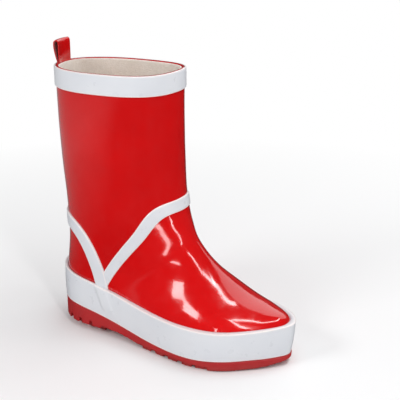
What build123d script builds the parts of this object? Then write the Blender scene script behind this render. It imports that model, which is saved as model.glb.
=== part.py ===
"""Child's rubber rain boot for the right foot, built up in layers on one last.

Millimetres. +X points to the toe, +Y to the inner side of the foot and +Z up. The origin is on the
ground, under the middle of the heel.
"""

import os
from math import asin, cos, degrees, dist, sin
from typing import NamedTuple

from build123d import *

# Layers of the wall, from the foot outwards
LINING = 1.2
RUBBER = 1.8
GLUE = 0.1
TRIM = 1.2
REINFORCEMENT = 0.8

# Layers under the foot, from the outsole up
MARGIN = 1.6
MARGIN_WIDTH = 10.5
FOXING_LIP = 8.0
BOARD = 1.7
BOARD_INSET = 6.0
FILLER_REACH = 10.0
INSOLE_COVER = 0.8
INSOLE_PLAY = 0.2
INSOLE_INSET = 7.0

# Leg opening
RIM_HEIGHT = 199.7
RIM_SLOPE = 0.022
COLLAR_BAND = 14.5
LINING_DROP = 0.5

# Trim straps and the blank patch at the heel
FRONT_STRAP_WIDTH = 8.6
REAR_STRAP_WIDTH = 10.4
PATCH_WIDTH = 14.0
PATCH_LOW = 49.5
PATCH_HIGH = 57.5

# Inner parts that stiffen the upper
PUFF_FROM = 128.0
PUFF_LOW = 16.0
STIFFENER_TO = 12.5
STIFFENER_LOW = 28.0
STIFFENER_HIGH = 66.0
TAPE_WIDTH = 9.0
TAPE_LOW = 62.0
TAPE_HIGH = 185.0
TAPE = 0.6

# Pull loop behind the leg opening
TAB_WIDTH = 18.0
TAB_THICKNESS = 0.9
TAB_HEIGHT = 16.5
TAB_DEPTH = 4.3
TAB_TAIL = 10.0
TAB_NECK = 1.5
TAB_SLACK = 0.4
TAB_BACK = 3.0
TAB_MIDDLE = -3.5
TAB_POCKET_PLAY = 0.1
COLLAR_RADIUS = 29.5
COLLAR_BACK = -25.5

# Outsole and its tread
SOLE_SETBACK = 0.3
HEEL_FRONT = 20.5
HEEL_TREAD = 4.6
FORE_TREAD = 3.0
HEEL_INSET = 7.5
FORE_INSET = 2.2
NOTCH_TOP = 8.6
NOTCH_DEPTH = 3.6
TREAD_ROOT = 0.5
HEEL_GROOVES = (-8.5, 1.5, 11.5)
HEEL_GROOVE = 3.0
FORE_BARS = (63.5, 76.0, 88.5, 101.0, 112.5)
FORE_BAR = 8.5
BAR_SWEEP = 6.0
TREAD_CHANNEL = 3.0
HEEL_BOSS = 10.0
CHANNEL_END = 114.0
PLUG_LENGTH = 28.0
PLUG_WIDTH = 32.0
PLUG_LOW = 7.5
PLUG_HIGH = 17.4

# Half the width of cutting tools that pass right through the boot, and its far end
REACH = 80.0
BEYOND_TOE = 190.0
TALL = 60.0

STEPS_BETWEEN_STATIONS = 3
SIDE_VIEW = Plane.XZ


class Station(NamedTuple):
    """One slice of the last, seen from the side as a line from its back point to its front point."""

    front: tuple
    back: tuple
    outer: float  # half width towards the outer side of the foot
    inner: float  # half width towards the inner side
    middle: float  # where the slice is widest, from 0 at the back to 1 at the front
    front_fullness: float  # 0.55 is an ellipse, 1 a rectangle
    back_fullness: float
    under: float = 0.0  # 0 where the back point is on the wall, 1 where it is on the sole
    ahead: float = 0.0  # 1 where the slice moves forward with the wall


STATIONS = [
    Station((72.4, 207), (-25.6, 205), 34.2, 26.5, 0.50, 0.80, 0.60),
    Station((72.7, 166), (-24.6, 164), 35.0, 32.5, 0.50, 0.65, 0.60),
    Station((72.8, 136), (-22.4, 131), 35.0, 37.0, 0.50, 0.59, 0.61),
    Station((73.6, 113), (-19.0, 99), 34.0, 38.0, 0.50, 0.58, 0.64),
    Station((77.0, 98), (-18.4, 71), 32.5, 36.0, 0.48, 0.58, 0.66),
    Station((81.2, 88.7), (-21.4, 44), 30.5, 32.5, 0.44, 0.58, 0.69),
    Station((86.0, 80.1), (-20.4, 24.5), 28.6, 28.6, 0.37, 0.58, 0.75, 0.5),
    Station((92.7, 72.0), (-5.0, 19.5), 28.4, 28.2, 0.26, 0.58, 0.81, 1.0),
    Station((101.9, 62.7), (36.0, 15), 31.2, 28.0, 0.22, 0.58, 0.84, 1.0),
    Station((114.3, 52.6), (81.0, 9), 38.2, 31.5, 0.27, 0.60, 0.84, 1.0),
    Station((128.6, 43.6), (118.0, 9), 36.4, 29.3, 0.30, 0.64, 0.81, 1.0),
    Station((146.0, 37.9), (142.5, 11), 23.5, 22.4, 0.35, 0.66, 0.78, 1.0),
    Station((159.2, 34.6), (157.4, 13.5), 9.8, 10.6, 0.45, 0.66, 0.71, 1.0),
    Station((163.0, 28), (162.6, 18), 3.6, 3.4, 0.50, 0.60, 0.60, 1.0, 1.0),
]

# Outline of the foxing seen from above: the back of the heel, the outer side, the toe, the inner side
FOOTPRINT = [
    (-24.5, 0),
    (-20.5, -16),
    (-9, -26.5),
    (13, -30.5),
    (45, -33),
    (85, -40),
    (108, -42),
    (130, -36.8),
    (146, -25.6),
    (153.4, -19),
    (160.6, -10.6),
    (165.9, -1.2),
    (163.8, 7.2),
    (158.2, 14.8),
    (149, 22.4),
    (126, 31.6),
    (93, 34),
    (50, 30.5),
    (13, 30.5),
    (-9, 26.5),
    (-20.5, 16),
]

# Lines of the side view, from the heel to the toe
FOXING_TOP = [(-40, 48.5), (0, 43.5), (31, 37.8), (60, 32), (98, 29.8), (140, 30.6), (190, 34)]
SOLE_JOINT = [(-40, 19), (10, 18.3), (32, 14.5), (60, 9.4), (98, 7.2), (125, 8), (160, 7.8), (190, 7.6)]
INSOLE_TOP = [(-40, 30.8), (-4, 29.2), (36, 23.8), (81, 17.7), (118, 17.4), (141, 19.4), (190, 25)]
ARCH = [(HEEL_FRONT + 1, 6.8), (40, 5.8), (56, FORE_TREAD)]
TOE_BUMPER = [(118, 0.2), (139, 0.7), (152, 1.5), (161, 3.0), (170, 6.0)]
FRONT_STRAP = [
    (21.8, 40.6),
    (25, 45),
    (38.3, 63.4),
    (47.9, 75.2),
    (56.4, 86),
    (63.2, 96.7),
    (68.5, 102.6),
    (75, 105),
    (90, 104),
]
REAR_STRAP = [
    (24.5, 16),
    (22, 42),
    (17.2, 61),
    (12, 71.5),
    (4.5, 80),
    (-6, 84.8),
    (-40, 86.5),
]
SEAM_MEETING = (23.5, 38)
SEAM_FOOT = (24.5, -20)
LINING_SEAM = [(-40, 66), (95, 122)]


def rim_at(x):
    return RIM_HEIGHT + RIM_SLOPE * x


def raised(points, lift):
    return [(x, z + lift) for x, z in points]


def flat(station):
    return [*station.front, *station.back, *station[2:]]


def middle_of(row):
    return ((row[0] + row[2]) / 2, (row[1] + row[3]) / 2)


def in_between(stations):
    """The stations with further slices between them, on smooth cubic curves through their values."""
    rows = [flat(station) for station in stations]
    places = [0.0]
    for row, after in zip(rows, rows[1:]):
        places.append(places[-1] + dist(middle_of(row), middle_of(after)))
    slopes = []
    for i in range(len(rows)):
        low = max(i - 1, 0)
        high = min(i + 1, len(rows) - 1)
        run = places[high] - places[low]
        slopes.append([(b - a) / run for a, b in zip(rows[low], rows[high])])
    slices = []
    for i in range(len(rows) - 1):
        gap = places[i + 1] - places[i]
        for step in range(STEPS_BETWEEN_STATIONS):
            t = step / STEPS_BETWEEN_STATIONS
            near = 2 * t**3 - 3 * t**2 + 1
            leave = (t**3 - 2 * t**2 + t) * gap
            arrive = (t**3 - t**2) * gap
            values = [
                near * a + leave * slope_a + (1 - near) * b + arrive * slope_b
                for a, b, slope_a, slope_b in zip(rows[i], rows[i + 1], slopes[i], slopes[i + 1])
            ]
            slices.append(Station(tuple(values[0:2]), tuple(values[2:4]), *values[4:]))
    return slices + [stations[-1]]


def grown(station, wall, sole):
    """The slice with its wall moved outwards by wall and its underside raised by sole."""
    back = Vector(*station.back)
    line = Vector(*station.front) - back
    way = line.normalized()
    back_in = -wall / way.X * (1 - station.under) if station.under < 1 else 0
    sole_in = sole / way.Y * station.under if station.under > 0 else 0
    shift = back_in + sole_in
    ahead = Vector(wall * station.ahead, 0)
    new_front = back + line + way * wall + ahead
    new_back = back + way * shift + ahead
    middle = (station.middle * line.length - shift) / (line.length + wall - shift)
    return station._replace(
        front=(new_front.X, new_front.Y),
        back=(new_back.X, new_back.Y),
        outer=station.outer + wall,
        inner=station.inner + wall,
        middle=middle,
    )


def quarter(length, width, fullness):
    """One quarter of a slice's outline, from its end point to its widest point."""
    return [(length, 0), (length, fullness * width), (fullness * length, width), (0, width)]


def slice_face(station):
    """A slice as a face of four arcs.

    Algebra mode: a BuildSketch would merge the arcs into one edge, and the loft would then twist.
    """
    back = Vector(station.back[0], 0, station.back[1])
    front = Vector(station.front[0], 0, station.front[1])
    line = front - back
    way = line.normalized()
    place = Plane(
        origin=back + line * station.middle, x_dir=way, z_dir=way.cross(Vector(0, 1, 0))
    )
    to_front = line.length * (1 - station.middle)
    to_back = -line.length * station.middle
    arcs = [
        quarter(to_front, station.inner, station.front_fullness),
        quarter(to_back, station.inner, station.back_fullness)[::-1],
        quarter(to_back, -station.outer, station.back_fullness),
        quarter(to_front, -station.outer, station.front_fullness)[::-1],
    ]
    edges = [Bezier(*[place.from_local_coords((x, y, 0)) for x, y in arc]) for arc in arcs]
    return Face(Wire(edges))


def form(wall, sole=0.0):
    """Closed body through all slices, its wall moved outwards and its underside raised."""
    slices = [slice_face(grown(station, wall, sole)) for station in in_between(STATIONS)]
    with BuildPart() as body:
        loft(sections=slices)
    return body.part


def side_prism(corners=(), line=()):
    """Solid as wide as the reach on both sides, with an outline from the side view."""
    with BuildPart() as prism:
        with BuildSketch(SIDE_VIEW):
            with BuildLine():
                if line:
                    Spline(*line)
                    Polyline(line[-1], *corners, line[0])
                else:
                    Polyline(*corners, close=True)
            make_face()
        extrude(amount=REACH, both=True)
    return prism.part


def below(points):
    """Everything below a side-view line that runs from the heel to the toe."""
    return side_prism([(points[-1][0], -REACH), (points[0][0], -REACH)], points)


def below_rim(drop):
    """Everything lower than a plane that lies drop under the rim."""
    ends = (-REACH, BEYOND_TOE)
    top = [(x, rim_at(x) - drop) for x in ends]
    return side_prism([*top, (ends[1], -REACH), (ends[0], -REACH)])


def strap_zone(points, width):
    """The width of a strap along its centre line."""
    with BuildPart() as prism:
        with BuildSketch(SIDE_VIEW):
            with BuildLine() as centre:
                Spline(*points)
            trace(centre.line, line_width=width)
        extrude(amount=REACH, both=True)
    return prism.part


def footprint(inset):
    """Points of the footprint, each moved inwards, square to the line between its neighbours."""
    points = []
    for i, (x, y) in enumerate(FOOTPRINT):
        before = FOOTPRINT[i - 1]
        after = FOOTPRINT[(i + 1) % len(FOOTPRINT)]
        along = (after[0] - before[0], after[1] - before[1])
        step = inset / dist(before, after)
        points.append((x - along[1] * step, y + along[0] * step))
    return points


def footprint_prism(inset):
    """Upright solid on the footprint, drawn in by inset."""
    with BuildPart() as prism:
        with BuildSketch(Plane.XY.offset(-TALL)):
            with BuildLine():
                Spline(*footprint(inset), periodic=True)
            make_face()
        extrude(amount=2 * TALL)
    return prism.part


def block(x, y, z):
    """Box between pairs of limits."""
    with BuildPart() as box:
        with Locations((sum(x) / 2, sum(y) / 2, sum(z) / 2)):
            Box(x[1] - x[0], y[1] - y[0], z[1] - z[0])
    return box.part


def carve(label, start, inside=(), outside=()):
    """A piece: a form, cut to some zones and cleared of others."""
    with BuildPart() as piece:
        add(start)
        for zone in inside:
            add(zone, mode=Mode.INTERSECT)
        for zone in outside:
            add(zone, mode=Mode.SUBTRACT)
    piece.part.label = label
    return piece.part


def tab_outline(inset, foot, neck, tail):
    """Side of the pull loop, drawn in by inset, in distances from the centre of the collar's back."""
    front = COLLAR_RADIUS - RUBBER - GLUE - LINING / 2 + inset
    back = front + TAB_DEPTH - 2 * inset
    top = rim_at(COLLAR_BACK) + TAB_HEIGHT - inset
    shoulder = top - (back - front) / 2
    Line((front, foot), (front, shoulder))
    ThreePointArc((front, shoulder), ((front + back) / 2, top), (back, shoulder))
    Line((back, shoulder), (back, shoulder - TAB_BACK))
    Line((back, shoulder - TAB_BACK), (front + tail, neck))
    Polyline((front + tail, neck), (front + tail, foot), (front, foot))


def tab_loop(spare=0.0, hollow=True):
    """Strip folded into a loop, with both tails down between the lining and the rubber."""
    rim = rim_at(COLLAR_BACK)
    half_angle = asin((TAB_WIDTH / 2 + spare) / COLLAR_RADIUS)
    first = half_angle - asin(TAB_MIDDLE / COLLAR_RADIUS)
    centre = Vector(COLLAR_BACK + COLLAR_RADIUS, 0, 0)
    start = Vector(-cos(first), -sin(first), 0)
    swept = Plane(origin=centre, x_dir=start, z_dir=start.cross(Vector(0, 0, 1)))
    with BuildPart() as loop:
        with BuildSketch(swept):
            with BuildLine():
                foot = rim - TAB_TAIL - spare
                tab_outline(-spare, foot, rim + TAB_NECK, 2 * (TAB_THICKNESS + spare))
            make_face()
            if hollow:
                with BuildLine():
                    tab_outline(TAB_THICKNESS, rim + TAB_NECK, rim + 2 * TAB_NECK, TAB_SLACK)
                make_face(mode=Mode.SUBTRACT)
        revolve(axis=Axis(centre, (0, 0, -1)), revolution_arc=2 * degrees(half_angle))
    return loop.part


def heel_tread():
    """Transverse bars under the heel, set well in from its wall."""
    with BuildPart() as bars:
        with BuildSketch():
            with Locations(((HEEL_FRONT - REACH) / 2, 0)):
                Rectangle(HEEL_FRONT + REACH, 2 * REACH)
            with Locations(*[(x, 0) for x in HEEL_GROOVES]):
                Rectangle(HEEL_GROOVE, 2 * REACH, mode=Mode.SUBTRACT)
        extrude(amount=HEEL_TREAD + TREAD_ROOT)
        add(footprint_prism(HEEL_INSET), mode=Mode.INTERSECT)
    return bars.part


def heel_notches():
    """Short slots where the heel grooves come out through the lower edge of the wall."""
    with BuildPart() as slots:
        with BuildSketch(Plane.XY.offset(HEEL_TREAD - TREAD_ROOT)):
            with Locations(*[(x, 0) for x in HEEL_GROOVES]):
                Rectangle(HEEL_GROOVE, 2 * REACH)
        extrude(amount=NOTCH_TOP - HEEL_TREAD + TREAD_ROOT)
        add(footprint_prism(NOTCH_DEPTH), mode=Mode.SUBTRACT)
    return slots.part


def fore_tread():
    """Swept bars under the forefoot."""
    with BuildPart() as bars:
        for x in FORE_BARS:
            back = x - FORE_BAR / 2
            front = x + FORE_BAR / 2
            with BuildSketch():
                with BuildLine():
                    Polyline(
                        (back - BAR_SWEEP, -REACH),
                        (back + BAR_SWEEP, 0),
                        (back - BAR_SWEEP, REACH),
                        (front - BAR_SWEEP, REACH),
                        (front + BAR_SWEEP, 0),
                        (front - BAR_SWEEP, -REACH),
                        close=True,
                    )
                make_face()
            extrude(amount=FORE_TREAD + TREAD_ROOT)
        add(footprint_prism(FORE_INSET), mode=Mode.INTERSECT)
    return bars.part


def heel_plug_prism(spare):
    with BuildPart() as plug:
        with BuildSketch(Plane.XY.offset(PLUG_LOW - spare)):
            Ellipse(PLUG_LENGTH / 2 + spare, PLUG_WIDTH / 2 + spare)
        extrude(amount=PLUG_HIGH - PLUG_LOW + 2 * spare)
    return plug.part


# Forms that the layers are cut from, from outside in
trim_form = form(TRIM + GLUE)
trim_seat = form(GLUE, -GLUE)
rubber_form = form(0)
recess_form = form(REINFORCEMENT + GLUE / 2 - RUBBER, MARGIN / 2)
reinforcement_form = form(REINFORCEMENT - RUBBER, MARGIN / 2 + GLUE)
rubber_hollow = form(-RUBBER, MARGIN)
board_form = form(-RUBBER - 2 * GLUE, MARGIN + GLUE)
board_top = form(-RUBBER - GLUE / 2, MARGIN + GLUE + BOARD)
lining_form = form(-RUBBER - GLUE, MARGIN + BOARD + 2 * GLUE)
lining_hollow = form(-RUBBER - GLUE - LINING, MARGIN + BOARD + 2 * GLUE + LINING)
insole_form = form(
    -RUBBER - GLUE - LINING - INSOLE_PLAY, MARGIN + BOARD + 2 * GLUE + LINING + INSOLE_PLAY
)
tape_hollow = form(
    -RUBBER - GLUE - LINING - INSOLE_PLAY - TAPE, MARGIN + BOARD + 2 * GLUE + LINING + TAPE
)

# Zones of the side view
under_foxing_top = below(FOXING_TOP)
under_sole_joint = below(SOLE_JOINT)
outsole_zone = below(raised(SOLE_JOINT, -GLUE))
filler_zone = below(raised(SOLE_JOINT, FILLER_REACH))
under_rim = below_rim(0)
under_collar_band = below_rim(COLLAR_BAND)
under_lining_rim = below_rim(LINING_DROP)
front_strap_zone = strap_zone(FRONT_STRAP, FRONT_STRAP_WIDTH)
rear_strap_zone = strap_zone(REAR_STRAP, REAR_STRAP_WIDTH)
vamp_zone = side_prism(
    [(BEYOND_TOE, FRONT_STRAP[-1][1]), (BEYOND_TOE, -20), SEAM_FOOT],
    [SEAM_MEETING, *FRONT_STRAP[2:]],
)
quarter_zone = side_prism(
    [(REAR_STRAP[-1][0], -20), SEAM_FOOT],
    [SEAM_MEETING, *REAR_STRAP[2:]],
)
under_lining_seam = side_prism(
    [*LINING_SEAM, (BEYOND_TOE, LINING_SEAM[1][1]), (BEYOND_TOE, -20), (LINING_SEAM[0][0], -20)]
)


# Bottom of the boot
tab_pocket = tab_loop(TAB_POCKET_PLAY, hollow=False)
margin_window = carve("margin_window", footprint_prism(MARGIN_WIDTH), [filler_zone])
puff_zone = block((PUFF_FROM, BEYOND_TOE), (-REACH, REACH), (PUFF_LOW, TALL))
puff_recess = carve("puff_recess", recess_form, [puff_zone])
stiffener_zone = block((-REACH, STIFFENER_TO), (-REACH, REACH), (STIFFENER_LOW, STIFFENER_HIGH))
stiffener_recess = carve("stiffener_recess", recess_form, [stiffener_zone])

with BuildPart() as outsole:
    with BuildSketch(SIDE_VIEW):
        with BuildLine():
            Spline(*TOE_BUMPER)
            Polyline(
                TOE_BUMPER[-1],
                (BEYOND_TOE, TALL),
                (-TALL, TALL),
                (-TALL, HEEL_TREAD),
                (HEEL_FRONT, HEEL_TREAD),
                *ARCH,
                (TOE_BUMPER[0][0], FORE_TREAD),
                TOE_BUMPER[0],
            )
        make_face()
    extrude(amount=REACH, both=True)
    add(outsole_zone, mode=Mode.INTERSECT)
    add(footprint_prism(SOLE_SETBACK), mode=Mode.INTERSECT)
    add(heel_notches(), mode=Mode.SUBTRACT)
    add(heel_tread())
    add(fore_tread())
    with Locations(((CHANNEL_END - REACH) / 2, 0, 0)):
        Box(CHANNEL_END + REACH, TREAD_CHANNEL, 2 * FORE_TREAD, mode=Mode.SUBTRACT)
    with BuildSketch():
        Circle(HEEL_BOSS / 2)
    extrude(amount=HEEL_TREAD + TREAD_ROOT)
    add(heel_plug_prism(GLUE), mode=Mode.SUBTRACT)
outsole.part.label = "outsole"

heel_plug = heel_plug_prism(0)
heel_plug.label = "heel_plug"

foxing_band = carve(
    "foxing_band",
    footprint_prism(0),
    [under_foxing_top],
    [under_sole_joint, trim_seat, footprint_prism(FOXING_LIP)],
)

with BuildPart() as bottom_filler:
    add(footprint_prism(FOXING_LIP + GLUE))
    add(trim_seat, mode=Mode.SUBTRACT)
    add(rubber_form, mode=Mode.SUBTRACT)
    add(carve("core", footprint_prism(MARGIN_WIDTH + GLUE), [filler_zone], [rubber_hollow]))
    add(filler_zone, mode=Mode.INTERSECT)
    add(under_sole_joint, mode=Mode.SUBTRACT)
bottom_filler.part.label = "bottom_filler"

insole_board = carve(
    "insole_board", board_form, [footprint_prism(BOARD_INSET), filler_zone], [board_top]
)

# Upper
rubber_shell = carve(
    "shell", rubber_form, [under_rim], [rubber_hollow, margin_window, under_sole_joint]
)
leg_panel = carve("leg_panel", rubber_shell, (), [vamp_zone, quarter_zone, tab_pocket])
vamp = carve("vamp", rubber_shell, [vamp_zone], [puff_recess])
heel_quarter = carve("heel_quarter", rubber_shell, [quarter_zone], [stiffener_recess])
toe_puff = carve("toe_puff", reinforcement_form, [puff_zone], [rubber_hollow])
heel_stiffener = carve("heel_stiffener", reinforcement_form, [stiffener_zone], [rubber_hollow])

# Trim laid over the upper
trim_layer = carve("trim", trim_form, (), [trim_seat])
collar_band = carve("collar_band", trim_layer, [under_rim], [under_collar_band])
heel_strap = carve("heel_strap", trim_layer, [rear_strap_zone], [under_foxing_top])
instep_strap = carve(
    "instep_strap", trim_layer, [front_strap_zone], [rear_strap_zone, under_foxing_top]
)
patch_zone = block((-REACH, 0), (-PATCH_WIDTH / 2, PATCH_WIDTH / 2), (PATCH_LOW, PATCH_HIGH))
heel_patch = carve("heel_patch", trim_layer, [patch_zone])
pull_tab = tab_loop()
pull_tab.label = "pull_tab"

# Inside
lining = carve("lining", lining_form, [under_lining_rim], [lining_hollow])
leg_lining = carve("leg_lining", lining, (), [under_lining_seam, tab_pocket])
foot_lining = carve("foot_lining", lining, [under_lining_seam])
tape_zone = block((-REACH, 0), (-TAPE_WIDTH / 2, TAPE_WIDTH / 2), (TAPE_LOW, TAPE_HIGH))
back_seam_tape = carve("back_seam_tape", insole_form, [tape_zone], [tape_hollow])
under_foam_top = below(raised(INSOLE_TOP, -INSOLE_COVER - GLUE))
under_cover = below(raised(INSOLE_TOP, -INSOLE_COVER))
insole_outline = footprint_prism(INSOLE_INSET)
insole_foam = carve("insole_foam", insole_form, [insole_outline, under_foam_top])
insole_cover = carve(
    "insole_cover", insole_form, [insole_outline, below(INSOLE_TOP)], [under_cover]
)

PIECES = [
    outsole.part,
    heel_plug,
    bottom_filler.part,
    insole_board,
    insole_foam,
    insole_cover,
    foxing_band,
    vamp,
    toe_puff,
    heel_quarter,
    heel_stiffener,
    leg_panel,
    collar_band,
    instep_strap,
    heel_strap,
    heel_patch,
    pull_tab,
    leg_lining,
    foot_lining,
    back_seam_tape,
]

os.makedirs("parts", exist_ok=True)
for piece in PIECES:
    export_step(piece, f"parts/{piece.label}.step")
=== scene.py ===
"""Looks of the child's rain boot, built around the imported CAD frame.

Metres, in the row frame: +X to the toe, +Y to the inner side of the foot, +Z up.
Every piece takes its place from the CAD nodes, by rays cast onto them.
"""

import math

import bpy
import numpy as np
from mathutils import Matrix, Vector, noise
from mathutils.bvhtree import BVHTree

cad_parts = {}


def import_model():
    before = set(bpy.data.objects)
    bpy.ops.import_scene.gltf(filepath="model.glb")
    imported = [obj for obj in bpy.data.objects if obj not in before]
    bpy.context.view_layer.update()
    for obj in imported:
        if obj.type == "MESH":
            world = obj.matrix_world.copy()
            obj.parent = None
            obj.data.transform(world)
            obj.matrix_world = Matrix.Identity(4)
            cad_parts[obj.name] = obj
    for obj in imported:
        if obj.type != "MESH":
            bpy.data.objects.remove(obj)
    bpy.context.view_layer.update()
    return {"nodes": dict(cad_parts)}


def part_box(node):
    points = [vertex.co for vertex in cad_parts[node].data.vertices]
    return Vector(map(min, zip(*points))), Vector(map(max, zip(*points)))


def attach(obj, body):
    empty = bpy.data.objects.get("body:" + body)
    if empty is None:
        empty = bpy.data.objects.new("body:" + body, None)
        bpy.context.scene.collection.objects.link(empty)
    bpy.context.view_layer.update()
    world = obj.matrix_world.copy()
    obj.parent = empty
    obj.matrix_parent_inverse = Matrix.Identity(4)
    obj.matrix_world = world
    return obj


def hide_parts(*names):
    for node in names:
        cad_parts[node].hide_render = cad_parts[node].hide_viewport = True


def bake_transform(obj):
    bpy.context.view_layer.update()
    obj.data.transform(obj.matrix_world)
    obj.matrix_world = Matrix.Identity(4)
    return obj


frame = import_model()

MM = 0.001
X = Vector((1, 0, 0))
Y = Vector((0, 1, 0))
Z = Vector((0, 0, 1))
FAR = 0.12
COLUMNS = 256

# Section planes of the upper: x and z of a point inside, tilt in degrees, rows up to the next one
FAN = [
    (25.5, 200.26, 1.26, 50),
    (24.0, 150.0, 2.2, 45),
    (26.0, 105.0, 9.0, 34),
    (28.0, 76.0, 19.0, 24),
    (36.0, 52.0, 28.0, 24),
    (66.0, 39.5, 37.0, 30),
    (97.0, 31.0, 54.0, 24),
    (123.0, 27.5, 72.0, 16),
    (138.0, 25.5, 80.0, 0),
]
CAP_STEP = 2.5


# --- geometry helpers -------------------------------------------------------------------------------


def tree(*names):
    """Search tree of some CAD nodes."""
    points, faces = [], []
    for name in names:
        mesh = frame["nodes"][name].data
        first = len(points)
        points += [v.co.copy() for v in mesh.vertices]
        faces += [[first + i for i in f.vertices] for f in mesh.polygons]
    return BVHTree.FromPolygons(points, faces)


def tree_of(verts, faces):
    return BVHTree.FromPolygons([Vector(v) for v in verts], [list(f) for f in faces])


def smoothstep(t):
    t = np.clip(t, 0.0, 1.0)
    return t * t * (3 - 2 * t)


def vertex_normals(verts, faces):
    """Area-weighted normals of a mesh of quads."""
    quads = np.asarray(faces)
    diagonal = verts[quads[:, 2]] - verts[quads[:, 0]]
    other = verts[quads[:, 3]] - verts[quads[:, 1]]
    face_normals = np.cross(diagonal, other)
    normals = np.zeros_like(verts)
    for corner in range(4):
        np.add.at(normals, quads[:, corner], face_normals)
    length = np.linalg.norm(normals, axis=1, keepdims=True)
    return normals / np.maximum(length, 1e-12)


def weld(verts, faces, reach=2e-6):
    """Merges vertices in the same place, and keeps the faces that still have four corners."""
    keys = np.round(verts / reach).astype(np.int64)
    unique, first, inverse = np.unique(keys, axis=0, return_index=True, return_inverse=True)
    inverse = inverse.reshape(-1)
    quads = inverse[np.asarray(faces)]
    keep = np.array([len(set(q)) == 4 for q in quads.tolist()])
    return verts[first], quads[keep], inverse


def smoothed(verts, edges, rounds, factor=0.5):
    """Moves each vertex towards the mean of its neighbours."""
    count = np.zeros(len(verts))
    np.add.at(count, edges[:, 0], 1)
    count = np.maximum(count, 1)[:, None]
    for _ in range(rounds):
        total = np.zeros_like(verts)
        np.add.at(total, edges[:, 0], verts[edges[:, 1]])
        verts = verts + factor * (total / count - verts)
    return verts


def smooth_loop(values, rounds):
    """Evens out values around a closed line."""
    for _ in range(rounds):
        before, after = np.roll(values, 1, axis=0), np.roll(values, -1, axis=0)
        values = values + 0.25 * (before + after - 2 * values)
    return values


def smooth_line(values, rounds):
    """Evens out values along an open line, with its ends held."""
    values = np.asarray(values, float)
    for _ in range(rounds):
        values[1:-1] += 0.25 * (values[2:] + values[:-2] - 2 * values[1:-1])
    return values


def waves(points, size, seed):
    """Smooth noise, one value from -1 to 1 for each point."""
    shift = Vector((seed * 7.3, seed * 3.1, seed * 5.7))
    return np.array([noise.noise(Vector(p) / size + shift) for p in points])


def closed_shell(verts, normals, faces, depth):
    """Gives a patch of faces a thickness inwards and closes its border."""
    faces = np.asarray(faces)
    used = np.unique(faces)
    index = -np.ones(len(verts), int)
    index[used] = np.arange(len(used))
    outer = index[faces]
    top = verts[used]
    bottom = top - normals[used] * depth
    n = len(used)
    directed = np.concatenate([outer[:, [i, (i + 1) % 4]] for i in range(4)])
    present = set(map(tuple, directed.tolist()))
    border = [(a, b) for a, b in present if (b, a) not in present]
    walls = [[b, a, a + n, b + n] for a, b in sorted(border)]
    inner = outer[:, ::-1] + n
    return np.concatenate([top, bottom]), np.concatenate([outer, inner, np.array(walls)])


def loop_mesh(rings, closed_ring=True, closed_path=False):
    """Quads between successive rings of points."""
    rings = np.asarray(rings)
    count, size = rings.shape[:2]
    faces = []
    for i in range(count if closed_path else count - 1):
        here, there = i * size, ((i + 1) % count) * size
        for j in range(size if closed_ring else size - 1):
            k = (j + 1) % size
            faces.append([here + j, here + k, there + k, there + j])
    return rings.reshape(-1, 3), faces


def capped_mesh(rings):
    """Closed tube through successive rings of points, with a flat face at each end."""
    verts, faces = loop_mesh(rings)
    size = len(rings[0])
    last = (len(rings) - 1) * size
    faces.append(list(range(size))[::-1])
    faces.append([last + j for j in range(size)])
    return verts, faces


def piece(name, verts, faces, materials, replaces=(), body="boot", edge=None):
    """A finished piece on a CAD body."""
    mesh = bpy.data.meshes.new(name)
    mesh.from_pydata([tuple(map(float, v)) for v in verts], [], [list(map(int, f)) for f in faces])
    mesh.validate()
    mesh.polygons.foreach_set("use_smooth", [True] * len(mesh.polygons))
    # The edge attribute holds the weight of a highlight painted along the rolled edges of the trims.
    if edge is not None:
        layer = mesh.attributes.new("edge", "FLOAT", "POINT")
        layer.data.foreach_set("value", np.asarray(edge, np.float32))
    for material in materials:
        mesh.materials.append(material)
    obj = bpy.data.objects.new(name, mesh)
    bpy.context.scene.collection.objects.link(obj)
    turn_outwards(mesh)
    if body:
        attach(obj, body)
    if replaces:
        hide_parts(*replaces)
    return obj


def turn_outwards(mesh):
    """Flips a closed mesh whose faces look inwards."""
    co = np.zeros(len(mesh.vertices) * 3)
    mesh.vertices.foreach_get("co", co)
    co = co.reshape(-1, 3)
    mesh.calc_loop_triangles()
    tri = np.zeros(len(mesh.loop_triangles) * 3, int)
    mesh.loop_triangles.foreach_get("vertices", tri)
    tri = tri.reshape(-1, 3)
    a, b, c = co[tri[:, 0]], co[tri[:, 1]], co[tri[:, 2]]
    if np.einsum("ij,ij->i", a, np.cross(b, c)).sum() < 0:
        mesh.flip_normals()


def remeshed(node, voxel, rounds):
    """A CAD node as an even mesh with softly rounded edges."""
    source = frame["nodes"][node]
    copy = bpy.data.objects.new("work", source.data.copy())
    bpy.context.scene.collection.objects.link(copy)
    remesh = copy.modifiers.new("remesh", "REMESH")
    remesh.mode = "VOXEL"
    remesh.voxel_size = voxel
    soften = copy.modifiers.new("soften", "SMOOTH")
    soften.iterations = rounds
    soften.factor = 0.5
    graph = bpy.context.evaluated_depsgraph_get()
    result = copy.evaluated_get(graph).to_mesh()
    verts = np.zeros(len(result.vertices) * 3)
    result.vertices.foreach_get("co", verts)
    faces = [list(f.vertices) for f in result.polygons]
    copy.to_mesh_clear()
    bpy.data.objects.remove(copy)
    return verts.reshape(-1, 3), faces


# --- the upper as one even surface ------------------------------------------------------------------


def planes(drop):
    """Origin and tilt of each section plane, on smooth curves through the table."""
    keys = np.array([k[:3] for k in FAN], float)
    keys[0, 1] -= drop
    slopes = np.gradient(keys, axis=0)
    rows = []
    for i in range(len(FAN) - 1):
        count = FAN[i][3]
        for step in range(count):
            t = step / count
            a = 2 * t**3 - 3 * t**2 + 1
            b = t**3 - 2 * t**2 + t
            c = t**3 - t**2
            rows.append(a * keys[i] + b * slopes[i] + (1 - a) * keys[i + 1] + c * slopes[i + 1])
    rows.append(keys[-1])
    return np.array(rows)


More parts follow.
